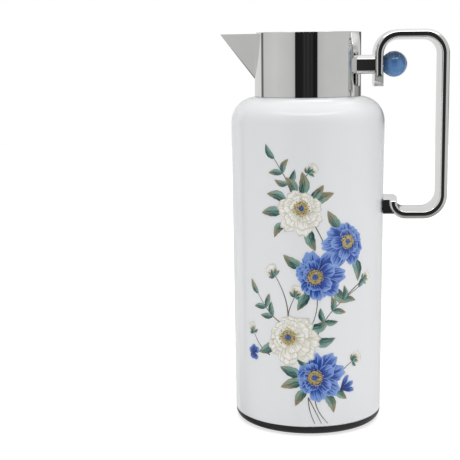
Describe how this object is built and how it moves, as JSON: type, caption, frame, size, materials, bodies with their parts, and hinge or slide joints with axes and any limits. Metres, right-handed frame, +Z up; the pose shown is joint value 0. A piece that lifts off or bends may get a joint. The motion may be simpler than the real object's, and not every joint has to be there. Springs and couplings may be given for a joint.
{
  "type": "vacuum jug with press valve",
  "caption": "Insulated serving jug: lacquered casing over a glass vacuum bottle, chrome collar with folded spout, strip handle and a ball that is pressed to open the pouring valve.",
  "frame": {"origin": "centre of the foot, on the surface that the jug stands on", "axes": "+Z up along the jug, +X towards the handle, -X towards the spout"},
  "size_m": [0.1688, 0.115, 0.2958],
  "materials": {
    "white_lacquer": "smooth high-gloss white stove lacquer",
    "chrome_plate": "polished chrome plate",
    "black_plastic": "fine moulded texture",
    "black_rubber": "matt",
    "silvered_glass": "blown glass, silvered on the vacuum side",
    "mineral_felt": "pressed felt",
    "clear_silicone": "milky translucent silicone",
    "grey_plastic": "moulded, food safe",
    "satin_steel": "satin stainless steel",
    "blue_gloss": "polished solid blue"
  },
  "bodies": {
    "jug": {"base_cap": "black_plastic", "foot_ring": "black_rubber", "retaining_ring": "black_plastic", "body_casing": "white_lacquer", "base_cushion": "black_rubber", "outer_glass_bottle": "silvered_glass", "inner_glass_bottle": "silvered_glass", "glass_spacers": "mineral_felt", "neck_seal": "clear_silicone", "collar": "chrome_plate", "collar_liner": "grey_plastic", "rod_bush": "grey_plastic", "rod_spring": "satin_steel", "handle_strip": "chrome_plate", "handle_arm": "chrome_plate", "lower_lug": "chrome_plate", "nut_plate": "satin_steel", "arm_screws": "satin_steel", "handle_screws": "satin_steel", "lug_screws": "satin_steel"},
    "gasket": {"stopper_gasket": "clear_silicone"},
    "stopper": {"stopper_plug": "grey_plastic", "lid_cap": "grey_plastic", "lid_cover": "satin_steel", "lid_screws": "satin_steel", "valve_spring": "satin_steel"},
    "valve": {"valve_disc": "grey_plastic", "valve_washer": "clear_silicone", "valve_stem": "satin_steel", "valve_ring": "grey_plastic", "stem_nuts": "satin_steel"},
    "press": {"push_rod": "satin_steel", "ball_knob": "blue_gloss"}
  },
  "joints": [
    {"name": "stopper_lift", "type": "slide", "parent": "jug", "child": "gasket", "axis": [0, 0, 1], "range_m": [0, 0.075]},
    {"name": "stopper_turn", "type": "hinge", "parent": "gasket", "child": "stopper", "pos_m": [0, 0, 0.25], "axis": [0, 0, 1], "range_deg": [0, 270]},
    {"name": "valve_open", "type": "slide", "parent": "stopper", "child": "valve", "axis": [0, 0, -1], "range_m": [0, 0.004], "deforming": ["valve_spring"]},
    {"name": "ball_press", "type": "slide", "parent": "jug", "child": "press", "axis": [-1, 0, 0], "range_m": [0, 0.004], "stiffness_N_per_m": 400, "springref_m": -0.004, "deforming": ["rod_spring"]}
  ],
  "couplings": [
    {"joint": "valve_open", "follows": "ball_press", "ratio": 1}
  ]
}
